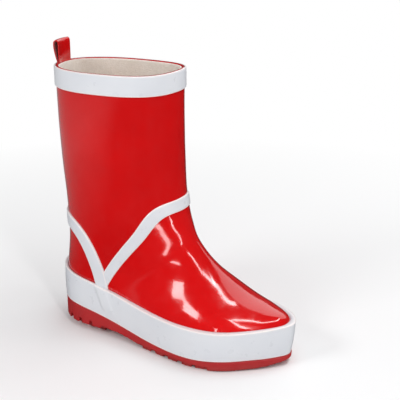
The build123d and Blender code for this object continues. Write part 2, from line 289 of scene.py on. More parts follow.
def row_points(target, origin, tilt, angles):
    along = Vector((math.cos(tilt), 0, math.sin(tilt)))
    points = []
    for angle in angles:
        way = along * math.cos(angle) + Y * math.sin(angle)
        found = target.ray_cast(origin + way * FAR, -way, FAR)[0]
        points.append(np.array(found) if found else None)
    known = [i for i, p in enumerate(points) if p is not None]
    for i, point in enumerate(points):
        if point is None:
            near = min(known, key=lambda k: min(abs(k - i), len(points) - abs(k - i)))
            points[i] = points[near]
    return points


def fan_surface(target, rounds, drop):
    """Even quads over everything the section planes cross, closed around the toe."""
    angles = [2 * math.pi * j / COLUMNS for j in range(COLUMNS)]
    table = planes(drop)
    tube = [
        row_points(target, Vector((x * MM, 0, z * MM)), math.radians(tilt), angles)
        for x, z, tilt in table
    ]
    x, z, tilt = table[-1]
    quarter = COLUMNS // 4
    half = [2 * math.pi * j / COLUMNS for j in range(-quarter, quarter + 1)]
    steps = int(round(180 / CAP_STEP))
    cap = [
        row_points(
            target, Vector((x * MM, 0, z * MM)), math.radians(tilt - 180 * k / steps), half
        )
        for k in range(steps + 1)
    ]
    verts_tube, faces_tube = loop_mesh(tube)
    verts_cap, faces_cap = loop_mesh(cap, closed_ring=False)
    first = len(verts_tube)
    verts = np.concatenate([verts_tube, verts_cap])
    faces = faces_tube + [[first + i for i in f] for f in faces_cap]
    verts, quads, place = weld(verts, faces)
    edges = np.concatenate([quads[:, [i, (i + 1) % 4]] for i in range(4)])
    edges = np.unique(np.concatenate([edges, edges[:, ::-1]]), axis=0)
    rim = place[:COLUMNS]
    on_rim = np.zeros(len(verts), bool)
    on_rim[rim] = True
    edges = edges[~(on_rim[edges[:, 0]] & ~on_rim[edges[:, 1]])]
    verts = smoothed(verts, edges, rounds)
    grid = place[: len(table) * COLUMNS].reshape(len(table), COLUMNS)
    normals = vertex_normals(verts, quads)
    centre = verts[grid[0]].mean(axis=0)
    if np.einsum("ij,ij->i", normals[grid[5]], verts[grid[5]] - centre).sum() < 0:
        quads = quads[:, ::-1]
        normals = -normals
    return {"verts": verts, "faces": quads, "normals": normals, "grid": grid}


UPPER = ("leg_panel", "vamp", "heel_quarter")
BROAD_WAVE = (0.16, 0.026, 1)
FINE_WAVE = (0.07, 0.011, 2)
skin = fan_surface(tree(*UPPER, "insole_board"), rounds=10, drop=0.02)
relief = np.zeros(len(skin["verts"]))
for height, size, seed in (BROAD_WAVE, FINE_WAVE):
    relief += height * MM * waves(skin["verts"], size, seed)
skin["verts"] = skin["verts"] + skin["normals"] * relief[:, None]
skin["normals"] = vertex_normals(skin["verts"], skin["faces"])
skin_tree = tree_of(skin["verts"], skin["faces"])


def on_skin(point):
    """Nearest place on the upper, with its outward normal."""
    return skin_tree.find_nearest(point)[:2]


# --- rubber foxing around the foot ------------------------------------------------------------------

BAND_ROUND = 560
BAND_AXIS = (0.0, 0.125)
BAND_LEVEL = 0.025
BAND_STEPS = 160
LIP_PROBE = 0.35
OVER_BAND = 0.1
UNDER_BAND = -0.02


def outline(target, level, count):
    """Points round the widest part of a node at one height, evenly spaced, with outward normals."""
    start, end = BAND_AXIS
    rays = []
    for i in range(181):
        angle = math.radians(90 + i)
        rays.append((start, math.cos(angle), math.sin(angle)))
    for i in range(1, BAND_STEPS):
        rays.append((start + (end - start) * i / BAND_STEPS, 0, -1))
    for i in range(181):
        angle = math.radians(-90 + i)
        rays.append((end, math.cos(angle), math.sin(angle)))
    for i in range(1, BAND_STEPS):
        rays.append((end - (end - start) * i / BAND_STEPS, 0, 1))
    points = []
    for x, dx, dy in rays:
        way = Vector((dx, dy, 0))
        found = target.ray_cast(Vector((x, 0, level)) + way * FAR, -way, FAR)[0]
        if found:
            points.append((found.x, found.y))
    points = np.array(points)
    gap = np.linalg.norm(np.roll(points, -1, axis=0) - points, axis=1)
    along = np.concatenate([[0], np.cumsum(gap)])
    closed = np.concatenate([points, points[:1]])
    places = np.linspace(0, along[-1], count, endpoint=False)
    even = np.stack([np.interp(places, along, closed[:, k]) for k in (0, 1)], axis=1)
    even = smooth_loop(even, 12)
    step = np.roll(even, -1, axis=0) - np.roll(even, 1, axis=0)
    side = np.stack([step[:, 1], -step[:, 0]], axis=1)
    side /= np.linalg.norm(side, axis=1, keepdims=True)
    return even, side


def heights(target, points, start, way):
    """Height of the first face met by an upright ray at each point."""
    found = []
    for x, y in points:
        place = target.ray_cast(Vector((x, y, start)), Z * way, 2 * FAR)[0]
        found.append(place.z if place else np.nan)
    found = np.array(found)
    known = ~np.isnan(found)
    found[~known] = np.interp(np.flatnonzero(~known), np.flatnonzero(known), found[known])
    return smooth_loop(found, 20)


foxing_tree = tree("foxing_band")
wall, wall_side = outline(foxing_tree, BAND_LEVEL, BAND_ROUND)
lip_height = heights(foxing_tree, wall - wall_side * LIP_PROBE * MM, OVER_BAND, -1)
foot_height = heights(foxing_tree, wall - wall_side * LIP_PROBE * MM, UNDER_BAND, 1)


def band_value(values, x):
    """One of the band's heights, at some distance along the foot."""
    order = np.argsort(wall[:, 0])
    return np.interp(x, wall[order, 0], values[order])


# --- trim ribbons that follow the CAD straps --------------------------------------------------------


EDGE_STEP = 0.1
EDGE_STEPS = 140
WALK_STEP = 2.0
WALK_STEPS = 200
WIDTH_CHANGE = 0.06
TURN_KEPT = 0.7
TURN_FADE = 0.9


def covered(target, point, normal):
    """Whether a strap lies over a place on the upper."""
    return target.ray_cast(point + normal * 4 * MM, -normal, 4.5 * MM)[0] is not None


def reach_of_edge(target, point, side):
    """How far a strap goes to one side of a point."""
    step = EDGE_STEP * MM
    for i in range(1, EDGE_STEPS):
        place, normal = on_skin(point + side * step * i)
        if not covered(target, place, normal):
            return step * i
    return step * EDGE_STEPS


def walk(target, start, way, extra):
    """Centre points and half widths along a strap, from its middle to beyond its end."""
    step = WALK_STEP * MM
    point, normal = on_skin(start)
    way = (way - normal * way.dot(normal)).normalized()
    points, widths = [point], []
    side = normal.cross(way)
    width = reach_of_edge(target, point, side) + reach_of_edge(target, point, -side)
    widths.append(width / 2)
    turn = Vector((0, 0, 0))
    beyond = 0.0
    while beyond < extra and len(points) < WALK_STEPS:
        ahead = (way + turn).normalized()
        place, normal = on_skin(point + ahead * step)
        side = normal.cross(ahead).normalized()
        steady = False
        if covered(target, place, normal):
            left = reach_of_edge(target, place, side)
            right = reach_of_edge(target, place, -side)
            if abs(left + right - 2 * widths[-1]) < WIDTH_CHANGE * 2 * widths[-1]:
                place, normal = on_skin(place + side * (left - right) / 2)
                widths.append((left + right) / 2)
                steady = True
        else:
            beyond += step
        if not steady:
            widths.append(widths[-1])
        new_way = (place - point).normalized()
        if steady:
            turn = turn * TURN_KEPT + (new_way - way) * (1 - TURN_KEPT)
        else:
            turn = turn * TURN_FADE
        way = new_way
        point = place
        points.append(point)
    return points, widths


def finer(values, times):
    """Values along a line with more in between, on Catmull-Rom curves."""
    values = np.asarray(values, float)
    padded = np.concatenate([values[:1], values, values[-1:]])
    out = []
    for i in range(1, len(padded) - 2):
        p0, p1, p2, p3 = padded[i - 1 : i + 3]
        for k in range(times):
            t = k / times
            out.append(
                0.5
                * (
                    2 * p1
                    + (p2 - p0) * t
                    + (2 * p0 - 5 * p1 + 4 * p2 - p3) * t**2
                    + (3 * p1 - p0 - 3 * p2 + p3) * t**3
                )
            )
    out.append(values[-1])
    return np.array(out)


TRIM_TOP = 1.2
TRIM_UNDER = -0.3
# Distance in from the edge, height, and how much the painted edge highlight shows
TRIM_RISE = [
    (0.0, TRIM_UNDER, 0.3), (0.0, 0.25, 0.6), (0.03, 0.55, 1.0), (0.18, 0.80, 1.0),
    (0.45, 1.00, 1.0), (0.75, 1.12, 0.6), (1.15, 1.18, 0.0), (1.9, TRIM_TOP, 0.0),
]


def ribbon_profile(half):
    """Cross-section of a strap: distance from the centre line, height and weight of the painted edge
    highlight.
    """
    left = [(-half + w * MM, h * MM, e) for w, h, e in TRIM_RISE]
    middle = [(half * f, TRIM_TOP * MM, 0.0) for f in (-0.35, -0.12, 0.12, 0.35)]
    right = [(-w, h, e) for w, h, e in left[::-1]]
    under = [(half * f, TRIM_UNDER * MM, 0.0) for f in (0.5, 0.0, -0.5)]
    return left + middle + right + under


def ribbon(points, widths, lift=0.0):
    """Closed strap laid on the upper along a line of points."""
    # edge collects the weight of the painted edge highlight at each point of the strap.
    rings, edge = [], []
    count = len(points)
    for i in range(count):
        here = Vector(points[i])
        way = Vector(points[min(i + 1, count - 1)]) - Vector(points[max(i - 1, 0)])
        place, normal = on_skin(here)
        side = normal.cross(way).normalized()
        ring = []
        for w, h, e in ribbon_profile(widths[i]):
            spot, up = on_skin(place + side * w)
            out = (up * 0.6 + normal * 0.4).normalized()
            ring.append(spot + out * (h + (lift if h > 0 else 0)))
            edge.append(e)
        rings.append([np.array(p) for p in ring])
    return *capped_mesh(smooth_line(rings, 6)), edge


STRAP_AXIS = 0.02
STRAP_LEVELS = 400


def strap_line(node, way, extra):
    """The whole centre line of a strap that crosses the middle of the boot."""
    target = tree(node)
    low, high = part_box(node)
    zs = []
    for i in range(STRAP_LEVELS):
        z = low.z + (high.z - low.z) * i / (STRAP_LEVELS - 1)
        if target.ray_cast(Vector((STRAP_AXIS, 0, z)) + way * FAR, -way, FAR)[0]:
            zs.append(z)
    centre_z = (min(zs) + max(zs)) / 2
    start = skin_tree.ray_cast(Vector((STRAP_AXIS, 0, centre_z)) + way * FAR, -way, FAR)[0]
    outer, outer_width = walk(target, start, -Y, extra)
    inner, inner_width = walk(target, start, Y, extra)
    line = [list(p) for p in inner[:0:-1]] + [list(p) for p in outer]
    widths = inner_width[:0:-1] + outer_width
    line = finer(smooth_line(line, 3), 3)
    widths = finer(smooth_line(widths, 10), 3)
    return line, widths


# --- materials --------------------------------------------------------------------------------------


class Graph:
    """Small helper to write a node material."""

    def __init__(self, name):
        self.material = bpy.data.materials.new(name)
        self.material.use_nodes = True
        self.tree = self.material.node_tree
        self.tree.nodes.clear()
        self.output = self.add("ShaderNodeOutputMaterial")
        self.coords = self.add("ShaderNodeTexCoord").outputs["Object"]

    def add(self, kind, settings=None, **inputs):
        node = self.tree.nodes.new(kind)
        for key, value in (settings or {}).items():
            setattr(node, key, value)
        for key, value in inputs.items():
            self.put(node, key.replace("_", " "), value)
        return node

    def put(self, node, key, value):
        slot = node.inputs[int(key)] if key.isdigit() else node.inputs[key]
        if isinstance(value, bpy.types.NodeSocket):
            self.tree.links.new(value, slot)
        else:
            slot.default_value = value

    def noise(self, scale, detail=2.0, rough=0.5):
        node = self.add("ShaderNodeTexNoise", Scale=scale, Detail=detail, Roughness=rough)
        self.put(node, "Vector", self.coords)
        return node.outputs["Fac"]

    def span(self, value, low, high, to_low, to_high):
        node = self.add("ShaderNodeMapRange")
        self.put(node, "Value", value)
        for key, number in (
            ("From Min", low), ("From Max", high), ("To Min", to_low), ("To Max", to_high)
        ):
            self.put(node, key, number)
        return node.outputs["Result"]

    def blend(self, factor, first, second):
        node = self.add("ShaderNodeMix", {"data_type": "RGBA"})
        self.put(node, "0", factor)
        self.put(node, "6", first)
        self.put(node, "7", second)
        return node.outputs[2]

    def math(self, operation, a, b=0.0):
        node = self.add("ShaderNodeMath", {"operation": operation})
        self.put(node, "0", a)
        self.put(node, "1", b)
        return node.outputs[0]

    def bump(self, height, strength, distance):
        node = self.add("ShaderNodeBump", Height=height, Strength=strength, Distance=distance)
        return node.outputs["Normal"]

    def mottle(self, scale, dark, light):
        """Two close shades in broad soft patches."""
        return self.blend(self.span(self.noise(scale, 3), 0.3, 0.7, 0, 1), dark, light)

    def surface(self, **inputs):
        node = self.add("ShaderNodeBsdfPrincipled", **inputs)
        self.tree.links.new(node.outputs[0], self.output.inputs[0])
        return self.material


def rgb(r, g, b):
    return (r, g, b, 1.0)


def lacquer_red():
    """Glossy lacquered rubber, with faint orange peel and handling marks."""
    g = Graph("red_lacquered_rubber")
    tint = g.mottle(22, rgb(0.570, 0.0018, 0.0024), rgb(0.640, 0.0034, 0.0042))
    marks = g.noise(140, 4, 0.6)
    rough = g.span(marks, 0.35, 0.75, 0.10, 0.20)
    peel = g.bump(g.noise(420, 2), 0.05, 0.0004)
    return g.surface(
        Base_Color=tint, Roughness=rough, Normal=peel, Coat_Weight=0.55, Coat_Roughness=0.03,
        Specular_IOR_Level=0.5, IOR=1.5,
    )


def trim_pale():
    """Smooth pale rubber tape, with a highlight painted lighter and warmer along its rolled edges."""
    g = Graph("pale_trim_rubber_surface")
    tint = g.mottle(30, rgb(0.715, 0.735, 0.775), rgb(0.765, 0.780, 0.810))
    # Painted highlight: the edge attribute lightens and warms the tape along its rolled edges.
    edge = g.add("ShaderNodeAttribute", {"attribute_name": "edge"}).outputs["Fac"]
    tint = g.blend(edge, tint, rgb(0.900, 0.840, 0.830))
    scuffs = g.noise(90, 5, 0.65)
    tint = g.blend(g.span(scuffs, 0.62, 0.8, 0, 0.16), tint, rgb(0.58, 0.58, 0.60))
    rough = g.span(g.noise(160, 4), 0.3, 0.7, 0.26, 0.38)
    grain = g.bump(g.noise(700, 3), 0.08, 0.0003)
    return g.surface(
        Base_Color=tint, Roughness=rough, Normal=grain, Coat_Weight=0.2, Coat_Roughness=0.12
    )


def sole_red():
    """Moulded satin rubber with a little dust in its low places."""
    g = Graph("red_sole_rubber_surface")
    tint = g.mottle(35, rgb(0.42, 0.010, 0.013), rgb(0.52, 0.016, 0.018))
    height = g.add("ShaderNodeSeparateXYZ", Vector=g.coords).outputs["Z"]
    dust = g.math("MULTIPLY", g.span(height, 0.0, 0.006, 0.35, 0.0), g.noise(120, 4))
    tint = g.blend(dust, tint, rgb(0.30, 0.16, 0.13))
    rough = g.span(g.noise(200, 4), 0.3, 0.7, 0.38, 0.55)
    grain = g.bump(g.noise(900, 3), 0.12, 0.0004)
    return g.surface(Base_Color=tint, Roughness=rough, Normal=grain, Coat_Weight=0.1)


def knit(name, light, dark, size):
    """Brushed cotton knit: rows of small stitches under a soft nap."""
    g = Graph(name)
    cells = g.add("ShaderNodeTexVoronoi", Vector=g.coords, Scale=size).outputs["Distance"]
    nap = g.noise(size * 0.45, 5, 0.7)
    patches = g.noise(65, 4, 0.6)
    tint = g.blend(g.span(patches, 0.32, 0.68, 0, 1), dark, light)
    tint = g.blend(g.span(nap, 0.35, 0.7, 0.30, 0.0), tint, rgb(0.70, 0.60, 0.50))
    relief = g.bump(g.math("ADD", cells, nap), 0.7, 0.0006)
    return g.surface(
        Base_Color=tint, Roughness=0.92, Normal=relief, Sheen_Weight=0.35, Sheen_Roughness=0.5,
        Specular_IOR_Level=0.15,
    )


def woven(name, light, dark, size):
    """Flat weave of crossing threads with a little fuzz."""
    g = Graph(name)
    across = g.add("ShaderNodeTexWave", {"bands_direction": "Y"}, Vector=g.coords, Scale=size)
    along = g.add("ShaderNodeTexWave", {"bands_direction": "X"}, Vector=g.coords, Scale=size)
    threads = g.math("MULTIPLY", across.outputs["Fac"], along.outputs["Fac"])
    tint = g.blend(threads, dark, light)
    fuzz = g.noise(900, 3)
    tint = g.blend(g.span(g.noise(70, 3), 0.4, 0.7, 0, 0.25), tint, dark)
    relief = g.bump(g.math("ADD", threads, fuzz), 0.5, 0.0004)
    return g.surface(Base_Color=tint, Roughness=0.9, Normal=relief, Sheen_Weight=0.2)


def plain(name, light, dark, size, rough, strength):
    """Inner board, foam and sheet materials."""
    g = Graph(name)
    tint = g.blend(g.span(g.noise(size, 5, 0.65), 0.3, 0.7, 0, 1), dark, light)
    relief = g.bump(g.noise(size * 4, 3), strength, 0.0005)
    return g.surface(Base_Color=tint, Roughness=rough, Normal=relief)


red = lacquer_red()
pale = trim_pale()
sole = sole_red()
lining = knit("cotton_knit_lining", rgb(0.97, 0.89, 0.82), rgb(0.92, 0.83, 0.75), 1100)
tape = woven("woven_cotton_tape", rgb(0.72, 0.64, 0.54), rgb(0.52, 0.45, 0.36), 700)
cover = knit("insole_textile_cover", rgb(0.78, 0.70, 0.60), rgb(0.64, 0.56, 0.46), 900)
webbing = woven("red_backed_textile", rgb(0.62, 0.10, 0.08), rgb(0.42, 0.03, 0.03), 800)
foam = plain("insole_foam_cells", rgb(0.80, 0.76, 0.66), rgb(0.66, 0.61, 0.51), 600, 0.9, 0.5)
board = plain("pressed_fibre_board", rgb(0.42, 0.30, 0.19), rgb(0.28, 0.19, 0.12), 400, 0.85, 0.4)
filler = plain("filler_rubber_compound", rgb(0.10, 0.095, 0.09), rgb(0.05, 0.05, 0.05), 300, 0.7, 0.3)
stiffener = plain("impregnated_stiffener", rgb(0.62, 0.58, 0.52), rgb(0.50, 0.46, 0.40), 500, 0.8, 0.3)
patch = pale.copy()
patch.name = "blank_reflective_patch"


# --- red rubber pieces ------------------------------------------------------------------------------

SHELL_DEPTH = 1.6
SHELL_FOOT = 2.5


def owners(surface, names):
    """Middle of each face, and the number of the CAD node nearest to it."""
    centres = surface["verts"][surface["faces"]].mean(axis=1)
    trees = [tree(name) for name in names]
    nearest = [int(np.argmin([t.find_nearest(Vector(c))[3] for t in trees])) for c in centres]
    return centres, np.array(nearest)


centres, owner = owners(skin, UPPER)
above_sole = centres[:, 2] > band_value(foot_height, centres[:, 0]) + SHELL_FOOT * MM
for number, name in enumerate(UPPER):
    chosen = skin["faces"][(owner == number) & above_sole]
    verts, faces = closed_shell(skin["verts"], skin["normals"], chosen, SHELL_DEPTH * MM)
    piece(f"{name}_shell", verts, faces, [red], [name])

# --- straps -----------------------------------------------------------------------------------------

FRONT_TAPER = 0.16
REAR_TAIL = 9
FRONT_TAIL = 5
REAR_LIFT = 0.25


# Pale trim piece; edge weights the highlight painted along its rolled edges.
def trim(name, node, verts, faces, edge):
    piece(name, verts, faces, [pale], [node], edge=edge)


rear_line, rear_width = strap_line("heel_strap", -X, REAR_TAIL * MM)
trim("heel_strap_trim", "heel_strap", *ribbon(rear_line, rear_width, lift=REAR_LIFT * MM))
front_line, front_width = strap_line("instep_strap", X, FRONT_TAIL * MM)
front_width = front_width * (1 - FRONT_TAPER * np.abs(np.linspace(-1, 1, len(front_width))))
trim("instep_strap_trim", "instep_strap", *ribbon(front_line, front_width))

# --- foxing -----------------------------------------------------------------------------------------

TOE_LEAN = 2.6
FOXING_BACK = -6.5
FOXING_BULGE = 0.35
FOXING_ROWS = 14
# Distance out from the wall, height above the foot, and how much the painted edge highlight shows
FOXING_FOOT = [
    (FOXING_BACK, 0.0, 0), (-3.5, 0.0, 0), (-1.2, 0.0, 0.2), (-0.45, 0.02, 0.7),
    (-0.12, 0.22, 1.0), (0.0, 0.6, 0.9), (0.05, 1.1, 0.2),
]
# The same, with the depth below the lip
FOXING_LIP = [
    (0.22, 1.1, 0.1), (0.22, 0.6, 0.8), (0.06, 0.22, 1.0), (-0.30, 0.02, 1.0), (-0.8, 0.02, 0.6),
]
LEDGE = 3.5
LEDGE_LEAST = 0.9
# Lift of the foxing over the covered end of the heel strap
RIDGE = 0.8
RIDGE_SLANT = 0.42
RIDGE_HALF = 4.6
RIDGE_REACH = 22.0
RIDGE_FADE = 8
RIDGE_TOP = float(band_value(lip_height, 0.024))


def strap_ridge(point):
    """How much the covered end of the heel strap lifts the foxing at a point."""
    end = Vector(rear_line[-1] if point.y < 0 else rear_line[0])
    ahead = Vector(rear_line[-10] if point.y < 0 else rear_line[9])
    start = end + (ahead - end) * ((RIDGE_TOP - end.z) / (ahead.z - end.z))
    down = RIDGE_TOP - point.z
    across = abs(point.x - start.x - RIDGE_SLANT * max(down, 0.0))
    near = 1 - smoothstep((across - RIDGE_HALF * MM) / (0.8 * MM))
    fade = 1 - smoothstep((down - (RIDGE_REACH - RIDGE_FADE) * MM) / (RIDGE_FADE * MM))
    return float(near * fade) * RIDGE * MM


def foxing_section(top, low, ledge):
    """Cross-section of the band: distance out from its wall, height and weight of the painted edge
    highlight.
    """
    height = top - low
    section = [(out * MM, low + up * MM, e) for out, up, e in FOXING_FOOT]
    for k in range(1, FOXING_ROWS):
        share = k / FOXING_ROWS
        bulge = FOXING_BULGE * math.sin(math.pi * share) ** 0.8
        section.append((bulge * MM, low + height * (0.04 + 0.90 * share), 0))
    section += [(out * MM, top - down * MM, e) for out, down, e in FOXING_LIP]
    return section + [
        (-ledge * 0.75, top - 0.12 * MM, 0.0),
        (-ledge + 0.1 * MM, top - 0.5 * MM, 0.0),
        (-ledge - 0.4 * MM, top - 1.6 * MM, 0.0),
        (-max(ledge + 1.0 * MM, 3 * MM), top - 5 * MM, 0.0),
        (FOXING_BACK * MM, low + 2 * MM, 0.0),
    ]


# edge collects the weight of the painted edge highlight at each point of the band.
rings, edge = [], []
for (x, y), (sx, sy), top, low in zip(wall, wall_side, lip_height, foot_height):
    side = Vector((sx, sy, 0))
    base = Vector((x, y, 0))
    toe = float(smoothstep((x - 0.105) / 0.045))
    outside = base + side * 2 * MM
    found = skin_tree.ray_cast(outside + Z * (top - 0.8 * MM), -side, 0.016)[0]
    ledge = (outside - found).xy.length - 2 * MM if found else LEDGE * MM
    ledge = max(ledge, LEDGE_LEAST * MM)
    ring = []
    for out, z, e in foxing_section(top, low, ledge):
        share = (z - low) / (top - low)
        lean = -TOE_LEAN * MM * toe * (1 - share) ** 1.3
        spot = base + side * (out + lean) + Z * z
        if out > -0.5 * MM and share > 0.04:
            spot += side * strap_ridge(spot) * float(smoothstep((1 - share) * 12 + 0.3))
        ring.append(np.array(spot))
        edge.append(e)
    rings.append(ring)
verts, faces = loop_mesh(rings, closed_path=True)
trim("foxing_band_trim", "foxing_band", verts, faces, edge)

# --- collar -----------------------------------------------------------------------------------------


COLLAR_ROWS = 60


def down_column(surface, column, distance):
    """Place and normal on the surface, some way below the rim."""
    verts, normals = surface["verts"], surface["normals"]
    line = surface["grid"][:COLLAR_ROWS, column]
    points = verts[line]
    gaps = np.linalg.norm(np.diff(points, axis=0), axis=1)
    along = np.concatenate([[0], np.cumsum(gaps)])
    place = np.array([np.interp(distance, along, points[:, k]) for k in range(3)])
    normal = np.array([np.interp(distance, along, normals[line][:, k]) for k in range(3)])
    return place, normal / np.linalg.norm(normal)


# Distance below the rim, height off the leg, and how much the painted edge highlight shows
COLLAR_PROFILE = [
    (14.5, -0.2, 0.3), (14.5, 0.2, 0.6), (14.46, 0.55, 1.0), (14.3, 0.82, 1.0), (14.0, 1.02, 1.0),
    (13.65, 1.15, 0.6), (13.2, 1.2, 0.0), (12.0, 1.2, 0.0), (10.0, 1.2, 0.0), (8.0, 1.2, 0.0),
    (6.0, 1.2, 0.0), (4.0, 1.2, 0.0), (2.2, 1.2, 0.0), (1.1, 1.2, 0.0), (0.55, 1.16, 0.5),
    (0.2, 1.02, 1.0), (0.03, 0.75, 1.0), (0.0, 0.4, 1.0), (0.0, 0.05, 0.6), (0.6, -0.2, 0.0),
]
# edge collects the weight of the painted edge highlight at each point of the collar.
rings, edge = [], []
for column in range(COLUMNS):
    ring = []
    for down, out, e in COLLAR_PROFILE:
        place, normal = down_column(skin, column, down * MM)
        ring.append(place + normal * out * MM)
        edge.append(e)
    rings.append(ring)
verts, faces = loop_mesh(rings, closed_path=True)
trim("collar_band_trim", "collar_band", verts, faces, edge)

# --- lining -----------------------------------------------------------------------------------------

LININGS = ("leg_lining", "foot_lining")
LINING_DEPTH = 1.15
sock = fan_surface(tree(*LININGS), rounds=10, drop=0.52)
owner = owners(sock, LININGS)[1]
for number, name in enumerate(LININGS):
    chosen = sock["faces"][owner == number]
    verts, faces = closed_shell(sock["verts"], sock["normals"], chosen, LINING_DEPTH * MM)
    piece(f"{name}_knit", verts, faces, [lining], [name])

# --- pull loop --------------------------------------------------------------------------------------

TAB_CENTRE = 4.0
TAB_MIDDLE = 6.8
TAB_HALF = 17.6
TAB_HALF_THICK = 0.45
TAB_PATH = [
    (27.45, 189.2), (27.45, 194.0), (27.45, 198.0), (27.45, 201.0), (27.44, 204.0), (27.42, 207.0),
    (27.44, 210.0), (27.45, 212.6), (27.62, 213.8), (28.05, 214.7), (28.75, 215.15), (29.5, 215.15),
    (30.2, 214.75), (30.68, 213.9), (30.82, 212.6), (30.80, 210.8), (30.55, 208.6), (30.05, 205.8),
    (29.35, 202.9), (28.75, 200.8), (28.42, 199.2), (28.36, 197.0), (28.36, 193.0), (28.36, 189.2),
]
TAB_ACROSS = 14
TAB_EDGE = [(0.95, 0.94), (0.985, 0.72), (1.0, 0.35)]


def tab_ring(radius, height, out, up):
    """Cross-section of the folded strip: its outer face, one edge, its inner face, the other edge."""
    ring = []
    row = [(-mark, share) for mark, share in TAB_EDGE[::-1]]
    row += [(-0.9 + 1.8 * k / TAB_ACROSS, 1.0) for k in range(TAB_ACROSS + 1)]
    row += TAB_EDGE
    for way, marks in ((1, row), (-1, row[::-1])):
        for mark, share in marks:
            turn = math.radians(TAB_MIDDLE + TAB_HALF * mark)
            depth = way * TAB_HALF_THICK * share
            r = radius + out * depth
            z = height + up * depth
            x, y = TAB_CENTRE - r * math.cos(turn), -r * math.sin(turn)
            ring.append([x * MM, y * MM, z * MM])
    return ring


path = finer(TAB_PATH, 3)
steps = np.gradient(path, axis=0)
rings = []
for (radius, height), (dr, dz) in zip(path, steps):
    length = math.hypot(dr, dz)
    rings.append(tab_ring(radius, height, -dz / length, dr / length))
verts, faces = capped_mesh(rings)
size = len(rings[0])
textile = [j >= size // 2 for _ in range(len(rings) - 1) for j in range(size)]
tab = piece("pull_loop_strip", verts, faces, [red, webbing], body=None)
for polygon, inside in zip(tab.data.polygons, textile):
    polygon.material_index = int(inside)
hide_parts("pull_tab")
low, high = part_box("pull_tab")
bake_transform(tab)

# --- insole and back seam tape ----------------------------------------------------------------------


PAD_ROWS = 110
PAD_SHARES = (
    0, 0.01, 0.04, 0.09, 0.16, 0.25, 0.35, 0.45, 0.55, 0.65, 0.75, 0.84, 0.91, 0.96, 0.99, 1,
)
PAD_EDGE = 0.25
SPAN_STEP = 0.5
OVER_PAD = 0.1
UNDER_PAD = -0.01


def span_of(target, x, low, high):
    """Least and greatest y where an upright ray at x meets a node."""
    step = SPAN_STEP * MM
    ys = np.arange(low, high, step)
    hits = [y for y in ys if target.ray_cast(Vector((x, y, OVER_PAD)), -Z, FAR)[0]]
    if not hits:
        return None
    ends = []
    for hit, way in ((hits[0], -step), (hits[-1], step)):
        inside, outside = hit, hit + way
        for _ in range(7):
            middle = (inside + outside) / 2
            if target.ray_cast(Vector((x, middle, OVER_PAD)), -Z, FAR)[0]:
                inside = middle
            else:
                outside = middle
        ends.append(inside)
    return ends


def pad(name, node, materials, rounding, dimple, seed):
    """Soft sheet of the insole: even rows across the foot, rounded edges, worn slightly uneven."""
    target = tree(node)
    low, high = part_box(node)
    middle, half = (low.x + high.x) / 2, (high.x - low.x) / 2 - 0.15 * MM
    xs, spans = [], []
    for i in range(PAD_ROWS + 1):
        x = middle - half * math.cos(math.pi * i / PAD_ROWS)
        ends = span_of(target, x, low.y - MM, high.y + MM)
        if ends:
            xs.append(x)
            spans.append(ends)
    spans = smooth_line(spans, 3)
    rings = []
    for number, (x, (y0, y1)) in enumerate(zip(xs, spans)):
        end = min(number, len(xs) - 1 - number)
        tops, bottoms, ys = [], [], []
        for share in PAD_SHARES:
            y = y0 + (y1 - y0) * share
            probe = min(max(y, y0 + PAD_EDGE * MM), y1 - PAD_EDGE * MM)
            above = target.ray_cast(Vector((x, probe, OVER_PAD)), -Z, FAR)[0]
            below = target.ray_cast(Vector((x, probe, UNDER_PAD)), Z, FAR)[0]
            tops.append(above.z if above else np.nan)
            bottoms.append(below.z if below else np.nan)
            ys.append(y)
        known = ~np.isnan(tops)
        tops = np.interp(ys, np.array(ys)[known], np.array(tops)[known])
        bottoms = np.interp(ys, np.array(ys)[known], np.array(bottoms)[known])
        ring = []
        for points, way in ((tops, 1), (bottoms, -1)):
            row = []
            for y, z, top, bottom in zip(ys, points, tops, bottoms):
                thick = (top - bottom) / 2
                inset = min(y - y0, y1 - y, 0.4 * MM * (end + 0.3))
                reach = min(rounding * MM, thick)
                fall = max(0.0, 1 - inset / reach)
                shift = (1 - math.sqrt(max(0.0, 1 - fall * fall))) * reach
                place = Vector((x, y, z - way * shift))
                if way > 0:
                    place.z -= dimple * MM * (0.5 + 0.5 * noise.noise(place / 0.012 + Z * seed))
                row.append(list(place))
            ring += row if way > 0 else row[::-1]
        rings.append(ring)
    verts, faces = capped_mesh(rings)
    return piece(name, verts, faces, materials, [node], body="insole")


pad("insole_cover_knit", "insole_cover", [cover], 0.35, 0.12, 3)
pad("insole_foam_pad", "insole_foam", [foam], 0.8, 0.0, 4)

TAPE_ROWS = 61
TAPE_SHARES = (0, 0.2, 0.4, 0.6, 0.7, 0.78, 0.9, 0.97, 1)
TAPE_SOFT = 0.2
TAPE_SEAM = 0.12
tape_tree = tree("back_seam_tape")
low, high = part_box("back_seam_tape")
rings = []
for i in range(TAPE_ROWS + 1):
    z = low.z + (high.z - low.z) * (0.002 + 0.996 * i / TAPE_ROWS)
    row_in, row_out = [], []
    for share in [-s for s in TAPE_SHARES[:0:-1]] + list(TAPE_SHARES):
        y = share * ((high.y - low.y) / 2 - 0.05 * MM)
        inner = tape_tree.ray_cast(Vector((0.02, y, z)), -X, FAR)[0]
        outer = tape_tree.ray_cast(Vector((-0.1, y, z)), X, FAR)[0]
        soft = TAPE_SOFT * MM * max(0.0, abs(share) - 0.9) / 0.1
        seam = TAPE_SEAM * MM if abs(abs(share) - 0.74) < 0.05 else 0.0
        row_in.append([inner.x - soft - seam, y, z])
        row_out.append([outer.x + soft, y, z])
    rings.append(row_in + row_out[::-1])
verts, faces = capped_mesh(rings)
piece("back_seam_tape_woven", verts, faces, [tape], ["back_seam_tape"])

# --- outsole and heel patch -------------------------------------------------------------------------

SOLE_PUSH_TOP = 1.6
SOLE_PUSH_FOOT = 2.8
SOLE_EDGE = 1.6
SOLE_HOLD = (3, 16)


